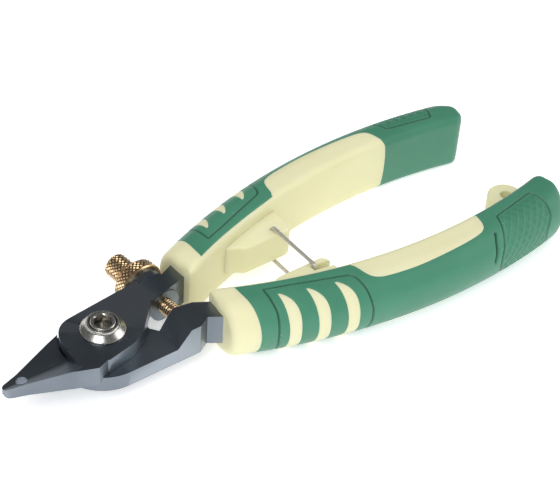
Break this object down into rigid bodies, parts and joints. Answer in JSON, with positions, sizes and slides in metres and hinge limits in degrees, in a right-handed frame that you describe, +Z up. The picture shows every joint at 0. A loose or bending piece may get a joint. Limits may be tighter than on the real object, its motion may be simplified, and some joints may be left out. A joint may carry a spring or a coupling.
{
  "type": "wire_stripper",
  "caption": "Small adjustable wire stripper: two lapped blued steel halves, bowed two-colour moulded grips, knurled brass stop screw and lock nut, and a wire bail that holds it shut",
  "frame": {"origin": "on the pivot axis, at the plane that the closed tool lies on", "axes": "+X from the pivot to the ends of the handles, +Y to the upper half's handle, +Z up along the pivot axis"},
  "size_m": [0.1538, 0.0596, 0.0162],
  "materials": {
    "blued_steel": "satin",
    "plated_steel": "polished",
    "spring_wire": "satin",
    "brass": "satin",
    "cream_plastic": "satin",
    "green_rubber": "matte"
  },
  "bodies": {
    "lower_handle": {"lower_half": "blued_steel", "pivot_screw": "plated_steel", "pivot_collar": "plated_steel", "spring_washer": "plated_steel", "pivot_nut": "plated_steel", "return_spring": "spring_wire", "lower_grip_core": "cream_plastic", "lower_grip_cover": "green_rubber"},
    "upper_handle": {"upper_half": "blued_steel", "upper_grip_core": "cream_plastic", "upper_grip_cover": "green_rubber"},
    "rod": {"stop_rod": "brass"},
    "knob": {"stop_knob": "brass"},
    "nut": {"lock_nut": "brass"},
    "bail": {"wire_bail": "spring_wire"}
  },
  "joints": [
    {"name": "handle_open", "type": "hinge", "parent": "lower_handle", "child": "upper_handle", "pos_m": [0, 0, 0.0081], "axis": [0, 0, 1], "range_deg": [0, 12]},
    {"name": "stop_slide", "type": "slide", "parent": "upper_handle", "child": "rod", "axis": [-0.0993, 0.9951, 0], "range_m": [-0.00105, 0.0021]},
    {"name": "knob_turn", "type": "hinge", "parent": "rod", "child": "knob", "pos_m": [0.0185, 0.00993, 0.0081], "axis": [-0.0993, 0.9951, 0], "range_deg": [-541, 1081]},
    {"name": "lock_nut_turn", "type": "hinge", "parent": "upper_handle", "child": "nut", "pos_m": [0.0185, 0.00993, 0.0081], "axis": [-0.0993, 0.9951, 0], "range_deg": [-180, 180]},
    {"name": "bail_swing", "type": "hinge", "parent": "upper_handle", "child": "bail", "pos_m": [0.0549, 0.0071, 0.0081], "axis": [0, 0, 1], "range_deg": [0, 106]}
  ],
  "couplings": [
    {"joint": "knob_turn", "follows": "stop_slide", "rad_per_m": 8976},
    {"joint": "bail_swing", "follows": "handle_open", "ratio": 8.75}
  ]
}
